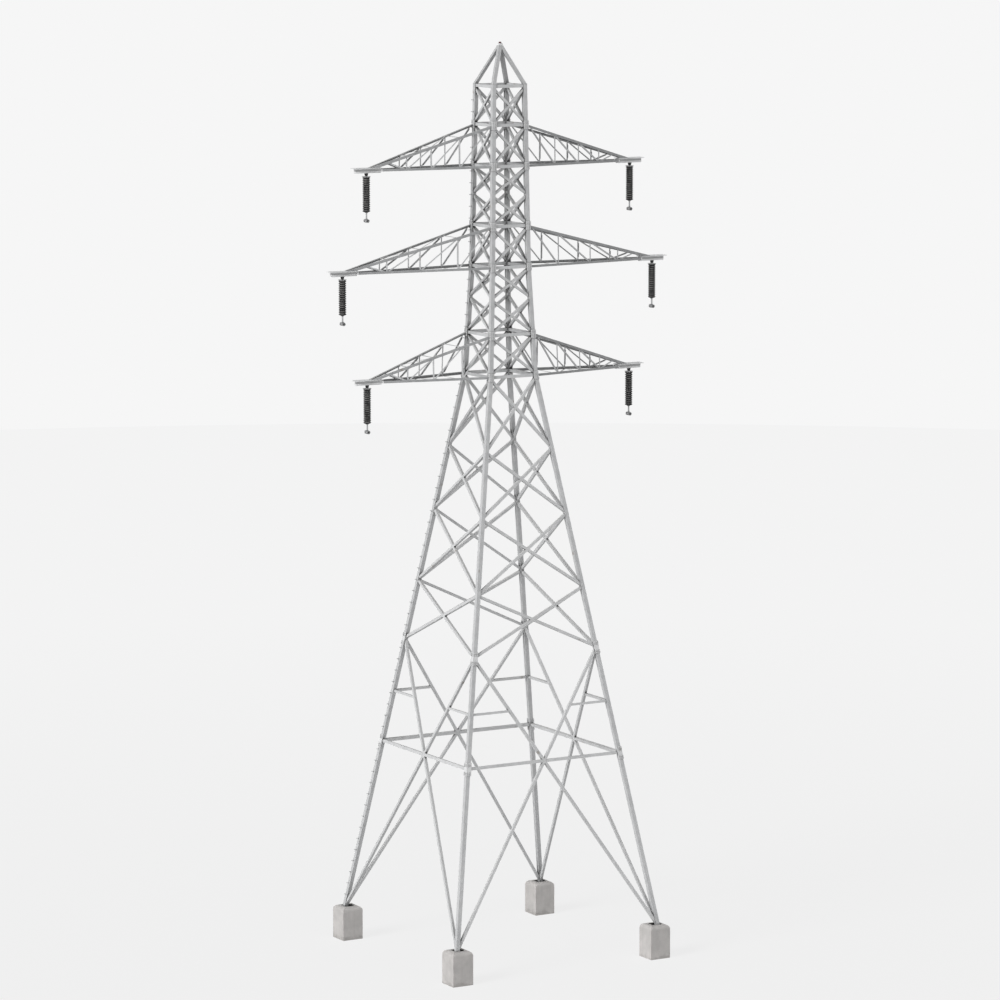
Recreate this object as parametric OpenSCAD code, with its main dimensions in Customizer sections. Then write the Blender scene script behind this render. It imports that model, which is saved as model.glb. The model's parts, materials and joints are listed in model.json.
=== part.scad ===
// Double-circuit lattice transmission pylon with three pairs of cross-arms.
// A tower of galvanised square sections stands on four concrete footings and carries six insulator strings.
// Heights are measured from the tops of the footings; +X runs along the arms and +Y along the line.

/* [Footings] */
// Width of each square concrete footing
footing_w = 762; // [600:1:1000]
// Height of the footings above the ground
footing_h = 1155; // [800:1:1600]
// Radius of the rounded top edges of a footing
footing_round = 145; // [60:1:180]
// Distance of a footing's centre from the leg's centre line, towards the tower's axis
footing_shift = 57; // [0:1:90]
// Width of the pocket that the leg stands in
pocket_w = 340; // [300:1:420]
// Depth of the pocket
pocket_depth = 60; // [30:1:120]

/* [Levels] */
// Height of the base panel, from the footings to the top of its diagonals
base_top_h = 9540; // [9200:5:9900]
// Height of the first crossed panel above the base
panel_one_rise = 2078; // [1900:1:2200]
// Height of the second crossed panel
panel_two_rise = 2500; // [2300:1:2700]
// Height of the third crossed panel
panel_three_rise = 2219; // [2000:1:2400]
// Height of the fourth crossed panel, up to the waist, where the legs bend and the low arms start
panel_four_rise = 2464; // [2200:1:2600]
// Height of the low arms at the legs, from bottom to top chord
low_arm_rise = 1412; // [1300:1:1600]
// Low arms' top chords to the meeting of the crossed panels above them
low_cross_rise = 1216; // [1100:1:1400]
// That meeting to the middle arms' bottom chords, where the legs bend again
low_neck_rise = 1062; // [950:1:1200]
// Height of the middle arms at the legs
mid_arm_rise = 1391; // [1200:1:1500]
// Middle arms' top chords to the meeting of the crossed panels above them
mid_cross_rise = 1042; // [950:1:1200]
// That meeting to the top arms' bottom chords
mid_neck_rise = 974; // [850:1:1100]
// Height of the top arms at the legs
top_arm_rise = 1385; // [1200:1:1500]
// Top arms' top chords to the top of the cage
head_rise = 1367; // [1200:1:1500]
// Height of the four peak members
peak_rise = 1283; // [1100:1:1400]

/* [Half widths] */
// Leg's centre line to the tower's axis at the footings
foot_half = 3940; // [3600:1:4200]
// Leg's centre line to the tower's axis at the waist
waist_half = 871; // [800:1:960]
// Leg's centre line to the tower's axis at the middle arms
bend_half = 697; // [660:1:760]
// Leg's centre line to the tower's axis at the top of the cage
head_half = 599; // [560:1:640]
// Centre line of a peak member to the tower's axis at the very top
peak_half = 13; // [8:1:40]

/* [Sections] */
// Width of the square legs
leg_b = 140; // [120:1:160]
// Wall of the legs and of the peak members
leg_t = 12; // [8:1:16]
// Width of the square lower diagonals
brace_b = 92; // [76:1:110]
// Width of the square diagonals above the waist
cage_brace_b = 80; // [64:1:96]
// Wall of the diagonals and struts
brace_t = 6; // [4:1:9]
// Width of the square struts and of the belt
strut_b = 104; // [84:1:116]
// Width of the square peak members
peak_b = 114; // [80:1:120]
// Flange of the arm chords
chord_b = 84; // [80:1:110]
// Thickness of the arm chords
chord_t = 9; // [7:1:12]
// Flange of the arm lacing
lace_b = 46; // [36:1:56]
// Thickness of the arm lacing
lace_t = 6; // [4:1:8]

/* [Splice plates] */
// Thickness of the angle plates that wrap the legs
splice_t = 16; // [8:1:20]
// How far a splice plate stands past the inner edge of the leg
splice_overhang = 24; // [8:1:32]
// Length of the splices in the lower legs
leg_splice_len = 430; // [320:5:520]
// Length of the plates where top chords start
top_plate_len = 290; // [240:5:420]
// Length of the plates where bottom chords start
bottom_plate_len = 270; // [220:5:340]

/* [Arms] */
// Tower axis to the low arms' strings
low_reach = 5140; // [4900:5:5400]
// Tower axis to the middle arms' strings
mid_reach = 6060; // [5800:5:6300]
// Tower axis to the top arms' strings
top_reach = 5140; // [4900:5:5400]
// Low arm lacing posts, as shares of the way from leg to string
low_posts = [0.233, 0.468, 0.678]; // [0.1:0.001:0.9]
// Middle arm lacing posts, as shares of the way from leg to string
mid_posts = [0.236, 0.490, 0.712]; // [0.1:0.001:0.9]
// Top arm lacing posts, as shares of the way from leg to string
top_posts = [0.270, 0.495, 0.690]; // [0.1:0.001:0.9]
// Tip beam, from the string towards the tower
beam_in = 530; // [450:5:650]
// Tip beam, from the string outwards
beam_out = 440; // [390:5:550]
// Width of the tip beam's web
web_w = 100; // [80:1:120]
// Web below the level of the bottom chords
web_drop = 87; // [70:1:110]
// Web above the level of the bottom chords
web_rise = 67; // [60:1:90]
// Width of the plate on the tip beam
cap_w = 340; // [300:1:400]
// Thickness of the plate on the tip beam
cap_t = 20; // [12:1:26]
// Overhang of that plate at the outer end
cap_overhang = 60; // [20:1:120]
// Landing of the top chords on that plate, inwards of the string
landing = 100; // [40:5:200]
// Gap between the two top chords where they land
landing_gap = 26; // [16:1:60]

/* [Insulator strings] */
// Number of sheds on a string
shed_count = 16; // [12:1:20]
// Height from one shed to the next
shed_pitch = 73.3; // [60:0.1:80]
// Diameter of a shed
shed_d = 256; // [220:1:270]
// Diameter of the core at the roots of the sheds
core_d = 196; // [150:1:210]
// Diameter of the metal disc above the sheds
disc_d = 288; // [260:1:296]
// Thickness of that disc
disc_t = 14; // [8:1:20]
// Hinge pin below the tip beam
pin_drop = 47; // [46:1:70]
// Diameter of the hinge pin
pin_d = 22; // [16:1:24]
// Hinge pin to the top of the metal disc
disc_drop = 60; // [58:1:90]
// Diameter of the rod below the sheds
rod_d = 52; // [30:1:60]
// Length of the rod below the sheds
rod_len = 224; // [180:1:300]
// Outside diameter of the conductor clamp
clamp_d = 118; // [90:1:140]
// Bore of the conductor clamp
clamp_bore = 62; // [30:1:70]
// Length of the conductor clamp
clamp_len = 210; // [150:1:280]

/* [Peak and climbing] */
// Width of the square cap on the peak
peak_cap_w = 140; // [130:1:200]
// Height of that cap
peak_cap_h = 72; // [50:1:100]
// Diameter of the warning lamp
lamp_d = 104; // [70:1:120]
// Height of the warning lamp
lamp_h = 52; // [40:1:90]
// Spacing of the step bolts along the back left leg
step_pitch = 400; // [300:5:500]
// Length of a step bolt
step_len = 84; // [70:1:160]
// Diameter of a step bolt
step_d = 20; // [14:1:24]
// Diameter of a step bolt's head
step_head_d = 32; // [26:1:40]
// Thickness of a step bolt's head
step_head_t = 12; // [8:1:16]

/* [Hidden] */
// Gap between pieces that are joined face to face
seat = 0.4;
// Room between the ends of bars that meet at a leg
bar_clear = 10;
// Height between a level and the end of a diagonal's axis on the leg's centre line
bar_lift = 25;
// Leg's centre line to the lower end of a base diagonal's axis
foot_inset = 48;
// Height of that lower end above the footing
foot_lift = 70;
// Place of the two short bars, as a share of the way from the belt to the top of the base
post_share = 0.488;
// Thickness of the plates between the legs and the peak members, and their overhang
head_plate_t = 12;
head_plate_over = 4;
// Spare length that is trimmed off at the ends of legs and bars
trim = 90;
// Size of the blocks that trim the bars
far = 9000;
// Length at each end of a lacing bar that has no standing edge
rib_cut = 120;
// Shortest lacing bar that has a standing edge
rib_least = 370;
// Parts of a shed as shares of the pitch: hollow under it, rim and upper slope
shed_under = 0.30;
shed_rim = 0.25;
shed_slope = 0.42;
// Wall of the eye round the hinge pin, and its clearance
eye_wall = 17;
eye_clear = 0.5;
// Thickness of the tongue between the hanger's cheeks
tongue_t = 22;
// Cheeks of the hanger
cheek_t = 14;
cheek_gap = 3;
cheek_w = 104;
// Plate that holds the cheeks under the tip beam
hanger_w = 110;
hanger_t = 10;
// End of the rod to the conductor clamp's tube
clamp_neck = 12;
// Wall of the clamp's boss round the rod
boss_wall = 8;

panel_one_h = base_top_h + panel_one_rise;
panel_two_h = panel_one_h + panel_two_rise;
panel_three_h = panel_two_h + panel_three_rise;
waist_h = panel_three_h + panel_four_rise;
low_arm_top_h = waist_h + low_arm_rise;
low_cross_h = low_arm_top_h + low_cross_rise;
mid_arm_h = low_cross_h + low_neck_rise;
mid_arm_top_h = mid_arm_h + mid_arm_rise;
mid_cross_h = mid_arm_top_h + mid_cross_rise;
top_arm_h = mid_cross_h + mid_neck_rise;
top_arm_top_h = top_arm_h + top_arm_rise;
head_h = top_arm_top_h + head_rise;
peak_h = head_h + peak_rise;

outline = [
    [0, foot_half],
    [waist_h, waist_half],
    [mid_arm_h, bend_half],
    [head_h, head_half],
    [peak_h, peak_half]
];
lift_strut = strut_b / 2 + bar_clear;
head_strut_h = head_h - strut_b / 2 - bar_clear;

// The belt runs where the base diagonals cross
base_high = base_top_h - bar_lift;
base_low_x = half_at(foot_lift) - foot_inset;
base_high_x = half_at(base_high);
belt_h = foot_lift + (base_high - foot_lift) * base_low_x / (base_low_x + base_high_x);
belt_posts_h = belt_h + post_share * (base_top_h - belt_h);

plate_out = leg_b / 2 + splice_t + 2 * seat;
cap_top = web_rise + cap_t;
stack_len = shed_count * shed_pitch;
shed_top_drop = disc_drop + disc_t + seat;
stack_bottom_drop = shed_top_drop + stack_len;
clamp_drop = stack_bottom_drop + rod_len + clamp_d / 2 + clamp_neck;
landing_half = chord_b + landing_gap / 2;

arm_levels = [waist_h, mid_arm_h, top_arm_h];
arm_tops = [low_arm_top_h, mid_arm_top_h, top_arm_top_h];
reaches = [low_reach, mid_reach, top_reach];
posts = [low_posts, mid_posts, top_posts];

corners = ["front_left", "front_right", "back_right", "back_left"];
faces = ["front", "right", "back", "left"];
arm_names = ["low", "mid", "top"];
sides = [[-1, "left"], [1, "right"]];

// Unit vector along v
function unit(v) = v / norm(v);

// Leg's centre line to the tower's axis at height h
function half_at(h) = lookup(h, outline);

// Inward lean of a face between heights a and b
function taper(a, b) = (half_at(a) - half_at(b)) / (b - a);

// Length along a face for each unit of height
function rise(a, b) = norm([1, taper(a, b)]);

// Angle between two neighbouring faces, seen along the corner line between heights a and b
function opening(a, b) = acos(-pow(taper(a, b), 2) / (1 + pow(taper(a, b), 2)));

// Point of a corner's cross-section at distances p and q inwards of the two faces' centre planes
function inward(p, q, turn) = [(q + p * cos(turn)) / sin(turn), p];

// Corners of a square cross-section on the corner line
function square_at(half, turn) = [
    inward(-half, -half, turn), inward(-half, half, turn), inward(half, half, turn), inward(half, -half, turn)
];

// Point on a face between heights a and b, at the side of one leg, inset from its centre line
function face_point(side, h, inset, a, b) = [side * (half_at(h) - inset), (h - a) * rise(a, b)];

// Point on the line from p to q at the height v
function at_height(p, q, v) = p + (q - p) * (v - p.y) / (q.y - p.y);

// Everything above the footings
module raised() {
    translate([0, 0, footing_h])
        children();
}

// Children set on the axes ex and ey at an origin
module on_axes(origin, ex, ey) {
    ez = cross(ex, ey);
    multmatrix([
        [ex.x, ey.x, ez.x, origin.x],
        [ex.y, ey.y, ez.y, origin.y],
        [ex.z, ey.z, ez.z, origin.z],
        [0, 0, 0, 1]
    ])
        children();
}

// Children set on the front face's centre plane between heights a and b: across, up and outwards
module on_face(a, b) {
    on_axes([0, -half_at(a), a], [1, 0, 0], unit([0, taper(a, b), 1]))
        children();
}

// Cross-section drawn on the front left corner line from a to b, run along it and trimmed level at lo and hi
module on_corner(a, b, lo, hi) {
    foot = [-half_at(a), -half_at(a), a];
    along = unit([-half_at(b), -half_at(b), b] - foot);
    across = unit([1, 0, 0] - along.x * along);
    start = (lo - a - trim) / along.z;
    room = half_at(lo) + 2 * trim;
    intersection() {
        on_axes(foot + start * along, across, cross(along, across))
            linear_extrude((hi - lo + 2 * trim) / along.z)
                children();
        translate([-room, -room, lo])
            cube([room - seat / 2, room - seat / 2, hi - lo]);
    }
}

// Square tube on that corner line
module corner_tube(a, b, lo, hi, width) {
    turn = opening(a, b);
    on_corner(a, b, lo, hi)
        difference() {
            polygon(square_at(width / 2, turn));
            polygon(square_at(width / 2 - leg_t, turn));
        }
}

// Cross-section drawn on a face, run from p to q and on past both
module along_face(p, q) {
    run = q - p;
    translate([p.x, p.y, 0])
        rotate([0, 90, atan2(run.y, run.x)])
            translate([0, 0, -trim])
                linear_extrude(norm(run) + 2 * trim)
                    children();
}

// Square tube from p to q
module face_tube(p, q, width) {
    along_face(p, q)
        difference() {
            square(width, center = true);
            square(width - 2 * brace_t, center = true);
        }
}

// Room that such a tube takes where bars of any depth end on it
module face_room(p, q, width) {
    along_face(p, q)
        square([2 * strut_b, width + 2 * seat], center = true);
}

// Bars of the front face between heights a and b, cut off at the sides of its two legs
module between_legs(a, b) {
    intersection() {
        on_face(a, b)
            children();
        intersection_for (turn = [-90, 90])
            rotate([0, 0, turn])
                on_face(a, b)
                    translate([-far, -far, -2 * far - leg_b / 2 - seat])
                        cube([2 * far, far + 2 * head_h, 2 * far]);
    }
}

// Two crossed diagonals between the levels lo and hi: one runs through, the other is welded to it in two halves
module crossed_panel(lo, hi, lift_lo, lift_hi, width) {
    a = lo + lift_lo;
    b = hi - lift_hi;
    low_left = face_point(-1, a, 0, lo, hi);
    low_right = face_point(1, a, 0, lo, hi);
    top_left = face_point(-1, b, 0, lo, hi);
    top_right = face_point(1, b, 0, lo, hi);
    between_legs(lo, hi) {
        face_tube(low_left, top_right, width);
        difference() {
            face_tube(top_left, low_right, width);
            face_room(low_left, top_right, width);
        }
    }
}

// Horizontal strut across a face at height h
module level_strut(h, lo, hi) {
    between_legs(lo, hi)
        face_tube(face_point(-1, h, 0, lo, hi), face_point(1, h, 0, lo, hi), strut_b);
}

// Base diagonals, the belt where they cross and the two short bars above it
module base_panel() {
    low_left = face_point(-1, foot_lift, foot_inset, 0, base_top_h);
    low_right = face_point(1, foot_lift, foot_inset, 0, base_top_h);
    top_left = face_point(-1, base_high, 0, 0, base_top_h);
    top_right = face_point(1, base_high, 0, 0, base_top_h);
    belt_left = face_point(-1, belt_h, 0, 0, base_top_h);
    belt_right = face_point(1, belt_h, 0, 0, base_top_h);
    post_left = face_point(-1, belt_posts_h, 0, 0, base_top_h);
    post_right = face_point(1, belt_posts_h, 0, 0, base_top_h);
    meet_x = at_height(low_left, top_right, post_right.y).x;
    between_legs(0, base_top_h) {
        face_tube(low_left, top_right, brace_b);
        difference() {
            face_tube(top_left, low_right, brace_b);
            face_room(low_left, top_right, brace_b);
        }
        difference() {
            union() {
                face_tube(belt_left, belt_right, strut_b);
                face_tube(post_left, [-meet_x - trim, post_left.y], cage_brace_b);
                face_tube([meet_x + trim, post_right.y], post_right, cage_brace_b);
            }
            face_room(low_left, top_right, brace_b);
            face_room(top_left, low_right, brace_b);
        }
    }
}

// Half-space outside the splice plates of the right face, on one straight section of the outline
module outside_right(section) {
    rotate([0, 0, 90])
        on_face(section[0], section[1])
            translate([-far, -far, plate_out])
                cube([2 * far, far + head_h, far]);
}

// Square block with its four top edges rounded, and a pocket for the leg
module footing(i) {
    place = foot_half - footing_shift;
    inner = footing_w - 2 * footing_round;
    color([0.68, 0.67, 0.65])
        rotate([0, 0, 90 * i])
            translate([-place, -place, 0])
                difference() {
                    intersection_for (turn = [0, 90])
                        rotate([90, 0, turn])
                            linear_extrude(footing_w, center = true) {
                                translate([-footing_w / 2, 0])
                                    square([footing_w, footing_h - footing_round]);
                                translate([-inner / 2, 0])
                                    square([inner, footing_h]);
                                for (x = [-inner / 2, inner / 2])
                                    translate([x, footing_h - footing_round])
                                        circle(footing_round, $fn = 64);
                            }
                    translate([-pocket_w / 2, -pocket_w / 2, footing_h - pocket_depth])
                        cube([pocket_w, pocket_w, pocket_depth + footing_round]);
                }
}

// Leg in five lengths: three up to the waist and two in the cage
module leg(i) {
    color([0.72, 0.73, 0.74])
        raised()
            rotate([0, 0, 90 * i]) {
                corner_tube(0, waist_h, seat - pocket_depth, belt_h, leg_b);
                corner_tube(0, waist_h, belt_h + seat, base_top_h, leg_b);
                corner_tube(0, waist_h, base_top_h + seat, waist_h, leg_b);
                corner_tube(waist_h, mid_arm_h, waist_h + seat, mid_arm_h, leg_b);
                corner_tube(mid_arm_h, head_h, mid_arm_h + seat, head_h, leg_b);
            }
}

// Plate wrapped round the two outer sides of a leg, from lo to hi
module splice_plate(a, b, lo, hi) {
    turn = opening(a, b);
    inner = -leg_b / 2 - seat;
    outer = inner - splice_t;
    edge = leg_b / 2 + splice_overhang;
    on_corner(a, b, lo, hi)
        polygon([
            inward(outer, outer, turn), inward(outer, edge, turn), inward(inner, edge, turn),
            inward(inner, inner, turn), inward(edge, inner, turn), inward(edge, outer, turn)
        ]);
}

// Splice plates on all four legs
module leg_splice_plates() {
    straight = [
        [0, waist_h, belt_h, leg_splice_len],
        [0, waist_h, base_top_h, leg_splice_len],
        [waist_h, mid_arm_h, low_arm_top_h, top_plate_len],
        [mid_arm_h, head_h, mid_arm_top_h, top_plate_len],
        [mid_arm_h, head_h, top_arm_h, bottom_plate_len],
        [mid_arm_h, head_h, top_arm_top_h, top_plate_len]
    ];
    bent = [[0, waist_h, mid_arm_h], [waist_h, mid_arm_h, head_h]];
    color([0.78, 0.79, 0.80])
        raised()
            for (i = [0:3])
                rotate([0, 0, 90 * i]) {
                    for (s = straight)
                        splice_plate(s[0], s[1], s[2] - s[3] / 2, s[2] + s[3] / 2);
                    for (s = bent) {
                        splice_plate(s[0], s[1], s[1] - bottom_plate_len / 2, s[1]);
                        splice_plate(s[1], s[2], s[1] + seat, s[1] + bottom_plate_len / 2);
                    }
                }
}

// Bracing of one face from the footings to the waist
module body_bracing(i) {
    levels = [base_top_h, panel_one_h, panel_two_h, panel_three_h, waist_h];
    color([0.70, 0.71, 0.72])
        raised()
            rotate([0, 0, 90 * i]) {
                base_panel();
                for (k = [0:3])
                    crossed_panel(levels[k], levels[k + 1], bar_lift, k < 3 ? bar_lift : lift_strut, brace_b);
            }
}

// Bracing of one face of the cage, with its struts
module cage_bracing(i) {
    panels = [
        [waist_h, low_arm_top_h, lift_strut, lift_strut],
        [low_arm_top_h, low_cross_h, lift_strut, bar_lift],
        [low_cross_h, mid_arm_h, bar_lift, lift_strut],
        [mid_arm_h, mid_arm_top_h, lift_strut, lift_strut],
        [mid_arm_top_h, mid_cross_h, lift_strut, bar_lift],
        [mid_cross_h, top_arm_h, bar_lift, lift_strut],
        [top_arm_h, top_arm_top_h, lift_strut, lift_strut],
        [top_arm_top_h, head_strut_h, lift_strut, lift_strut]
    ];
    color([0.70, 0.71, 0.72])
        raised()
            rotate([0, 0, 90 * i]) {
                for (s = panels)
                    crossed_panel(s[0], s[1], s[2], s[3], cage_brace_b);
                level_strut(waist_h, 0, waist_h);
                for (h = [low_arm_top_h, mid_arm_h])
                    level_strut(h, waist_h, mid_arm_h);
                for (h = [mid_arm_top_h, top_arm_h, top_arm_top_h, head_strut_h])
                    level_strut(h, mid_arm_h, head_h);
            }
}

// Four members that lean together above the cage, each on a plate that closes the leg below it
module peak_frame() {
    plate_w = leg_b + 2 * head_plate_over;
    plate_top = head_h + seat + head_plate_t;
    color([0.72, 0.73, 0.74])
        raised()
            for (i = [0:3])
                rotate([0, 0, 90 * i]) {
                    translate([-head_half - plate_w / 2, -head_half - plate_w / 2, head_h + seat])
                        cube([plate_w, plate_w, head_plate_t]);
                    corner_tube(head_h, peak_h, plate_top + seat, peak_h, peak_b);
                }
}

// Square cap with bevelled upper edges that holds the four members together
module peak_cap() {
    bevel = peak_cap_h / 4;
    inner = peak_cap_w - 2 * bevel;
    color([0.80, 0.81, 0.82])
        raised()
            translate([0, 0, peak_h + seat])
                intersection_for (turn = [0, 90])
                    rotate([90, 0, turn])
                        linear_extrude(peak_cap_w, center = true)
                            polygon([
                                [-peak_cap_w / 2, 0],
                                [peak_cap_w / 2, 0],
                                [peak_cap_w / 2, peak_cap_h - bevel],
                                [inner / 2, peak_cap_h],
                                [-inner / 2, peak_cap_h],
                                [-peak_cap_w / 2, peak_cap_h - bevel]
                            ]);
}

// Low dark red lamp with a domed top
module warning_lamp() {
    base_h = lamp_h / 3;
    lens_d = lamp_d - lamp_h / 4;
    crown = lamp_h / 3;
    color([0.30, 0.06, 0.08])
        raised()
            translate([0, 0, peak_h + peak_cap_h + 2 * seat])
                rotate_extrude($fn = 48) {
                    square([lamp_d / 2, base_h]);
                    square([lens_d / 2, lamp_h - crown]);
                    square([lens_d / 2 - crown, lamp_h]);
                    translate([lens_d / 2 - crown, lamp_h - crown])
                        intersection() {
                            circle(crown, $fn = 32);
                            square(crown);
                        }
                }
}

// One step bolt on the left face of the back left leg, at the height h
module step_bolt(h, a, b) {
    rotate([0, 0, 270])
        on_face(a, b)
            translate([-half_at(h), (h - a) * rise(a, b), leg_b / 2 + seat]) {
                cylinder(d = step_d, h = step_len, $fn = 24);
                translate([0, 0, step_len - step_head_t])
                    cylinder(d = step_head_d, h = step_head_t, $fn = 24);
            }
}

// Ladder of step bolts, with the places of the splice plates left free
module step_bolts() {
    plates = [
        [belt_h, leg_splice_len],
        [base_top_h, leg_splice_len],
        [waist_h, bottom_plate_len],
        [low_arm_top_h, top_plate_len],
        [mid_arm_h, bottom_plate_len],
        [mid_arm_top_h, top_plate_len],
        [top_arm_h, bottom_plate_len],
        [top_arm_top_h, top_plate_len]
    ];
    sections = [[0, waist_h], [waist_h, mid_arm_h], [mid_arm_h, head_h]];
    color([0.60, 0.61, 0.62])
        raised()
            for (s = sections)
                for (h = [s[0] + step_pitch : step_pitch : s[1] - step_pitch / 2])
                    if (min([for (p = plates) abs(h - p[0]) - p[1] / 2]) > step_d)
                        step_bolt(h, s[0], s[1]);
}

// Corner points of the near side of a right-hand arm: leg foot, leg head and landing
function arm_corner(h) = [half_at(h) + leg_b / 2, -half_at(h) - chord_b / 2, h];
function arm_foot(k) = arm_corner(arm_levels[k]);
function arm_head(k) = arm_corner(arm_tops[k]);
function arm_land(k) = [reaches[k] - landing, -landing_half, arm_levels[k] + cap_top];

// Axes of that side: along the arm, up it and outwards
function arm_out(k) = unit(cross(arm_land(k) - arm_foot(k), arm_head(k) - arm_foot(k)));
function arm_along(k) = unit(cross([0, 0, 1], arm_out(k)));
function arm_up(k) = cross(arm_out(k), arm_along(k));

// Places on that side, along and up
function on_arm(k, p) = [(p - arm_foot(k)) * arm_along(k), (p - arm_foot(k)) * arm_up(k)];
function top_line(k, x) =
    let (a = on_arm(k, arm_head(k)), b = on_arm(k, arm_land(k)))
    a.y + (b.y - a.y) * (x - a.x) / (b.x - a.x);
function post_place(k, j) = let (h = half_at(arm_levels[k])) h + posts[k][j] * (reaches[k] - h);
function post_x(k, j) = (post_place(k, j) - arm_foot(k).x) / arm_along(k).x;

// Straight sections of the tower's outline just below and just above an arm's bottom chords
lower_sections = [[0, waist_h], [waist_h, mid_arm_h], [mid_arm_h, head_h]];
upper_sections = [[waist_h, mid_arm_h], [mid_arm_h, head_h], [mid_arm_h, head_h]];

// Bottom chord of one side: an angle that closes in on the tip beam
module bottom_chord(k) {
    along = arm_along(k);
    chord_len = (-arm_foot(k).y - web_w / 2) / abs(along.y);
    flange_end = chord_len - (chord_b + 2 * bar_clear) / abs(along.y);
    intersection() {
        on_axes(arm_foot(k), along, arm_up(k)) {
            translate([-trim, -chord_b / 2, -chord_t])
                cube([chord_len + 2 * trim, chord_b, chord_t]);
            translate([-trim, -chord_b / 2, -chord_b])
                cube([flange_end + trim, chord_t, chord_b]);
        }
        outside_right(lower_sections[k]);
        outside_right(upper_sections[k]);
        translate([0, -far - web_w / 2 - seat, 0])
            cube([far, far, 4 * far]);
    }
}

// Top chord of one side: an angle that slopes down to the plate on the tip beam
module top_chord(k) {
    a = on_arm(k, arm_head(k));
    b = on_arm(k, arm_land(k));
    slope = unit(b - a);
    intersection() {
        on_axes(
            arm_head(k),
            slope.x * arm_along(k) + slope.y * arm_up(k),
            slope.x * arm_up(k) - slope.y * arm_along(k)) {
            translate([-trim, -chord_b, -chord_t])
                cube([norm(b - a) + 2 * trim, chord_b, chord_t]);
            translate([-trim, -chord_t, -chord_b])
                cube([norm(b - a) + 2 * trim, chord_t, chord_b]);
        }
        outside_right(upper_sections[k]);
        translate([0, -far, arm_levels[k] + cap_top + seat])
            cube([far, 2 * far, far]);
    }
}

// Tip beam: a deep web under a wide plate
module tip_beam(k) {
    x = reaches[k] - beam_in;
    translate([x, -web_w / 2, arm_levels[k] - web_drop])
        cube([beam_in + beam_out, web_w, web_drop + web_rise]);
    translate([x, -cap_w / 2, arm_levels[k] + web_rise])
        cube([beam_in + beam_out + cap_overhang, cap_w, cap_t]);
}

// Hanger under the tip beam: a plate with two cheeks and the pin
module hanger(k) {
    cheek_y = tongue_t / 2 + cheek_gap;
    translate([reaches[k], 0, arm_levels[k] - web_drop - pin_drop]) {
        translate([-hanger_w / 2, -web_w / 2, pin_drop - seat - hanger_t])
            cube([hanger_w, web_w, hanger_t]);
        for (y = [-cheek_y - cheek_t, cheek_y])
            translate([0, y + cheek_t, 0])
                rotate([90, 0, 0])
                    linear_extrude(cheek_t) {
                        circle(d = cheek_w, $fn = 48);
                        translate([-cheek_w / 2, 0])
                            square([cheek_w, pin_drop - seat - hanger_t / 2]);
                    }
        rotate([90, 0, 0])
            cylinder(d = pin_d, h = 2 * (cheek_y + cheek_t) + pin_d, center = true, $fn = 48);
    }
}

// Arm: four chords, the tip beam and its hanger
module arm(k, side) {
    color([0.74, 0.75, 0.76])
        raised()
            mirror([side < 0 ? 1 : 0, 0, 0]) {
                for (turn = [0, 1])
                    mirror([0, turn, 0]) {
                        bottom_chord(k);
                        top_chord(k);
                    }
                tip_beam(k);
                hanger(k);
            }
}

// Flat lacing bar between two points
module lace_flat(p, q) {
    run = q - p;
    translate(p)
        rotate(atan2(run.y, run.x))
            translate([0, -lace_b / 2])
                square([norm(run), lace_b]);
}

// Standing edge of a lacing bar, kept short of the joints at its ends
module lace_rib(p, q) {
    run = q - p;
    translate(p)
        rotate(atan2(run.y, run.x))
            translate([rib_cut, -lace_b / 2])
                square([norm(run) - 2 * rib_cut, lace_t]);
}

// Lacing of one side: posts, diagonals that rise towards the leg, and a brace towards the tip
module side_lacing(k) {
    drop = chord_b / 2;
    start = [on_arm(k, arm_head(k)).x + plate_out - leg_b / 2 + chord_b, 0];
    tip_x = (post_x(k, 2) + on_arm(k, arm_land(k)).x) / 2;
    xs = [for (j = [0:2]) post_x(k, j)];
    bars = concat(
        [for (x = xs) [[x, 0], [x, top_line(k, x) - drop]]],
        [for (j = [0:2])
            let (x = j == 0 ? start.x : xs[j - 1])
            [[x, top_line(k, x) - drop], [xs[j], 0]]],
        [[[xs[2], 0], [tip_x, top_line(k, tip_x) - drop]]]
    );
    on_axes(arm_foot(k) - (chord_t + seat) * arm_out(k), arm_along(k), arm_up(k)) {
        translate([0, 0, -lace_t])
            linear_extrude(lace_t)
                for (b = bars)
                    lace_flat(b[0], b[1]);
        translate([0, 0, -lace_b])
            linear_extrude(lace_b)
                for (b = bars)
                    if (norm(b[1] - b[0]) > rib_least)
                        lace_rib(b[0], b[1]);
    }
}

// Diagonal from one cross strut's end to the far end of the next
module zigzag(xs, ys, j, side) {
    edge = lace_b / 2;
    lace_flat([xs[j], side * (ys[j] - edge)], [xs[j + 1], -side * (ys[j + 1] - edge)]);
}

// Cross struts and diagonals between the two bottom chords, lying on their lower flanges
module bottom_lacing(k) {
    out = arm_out(k);
    depth = chord_t + seat + lace_t + bar_clear;
    xs = [for (j = [0:2]) post_place(k, j)];
    ys = [for (j = [0:2]) -arm_foot(k).y - post_x(k, j) * abs(arm_along(k).y) - depth];
    level = arm_levels[k] - chord_b / 2 + chord_t + seat - depth * out.z;
    translate([0, 0, level])
        linear_extrude(lace_t) {
            for (j = [0:2])
                lace_flat([xs[j], -ys[j]], [xs[j], ys[j]]);
            for (j = [0, 1])
                zigzag(xs, ys, j, 2 * j - 1);
        }
}

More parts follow.
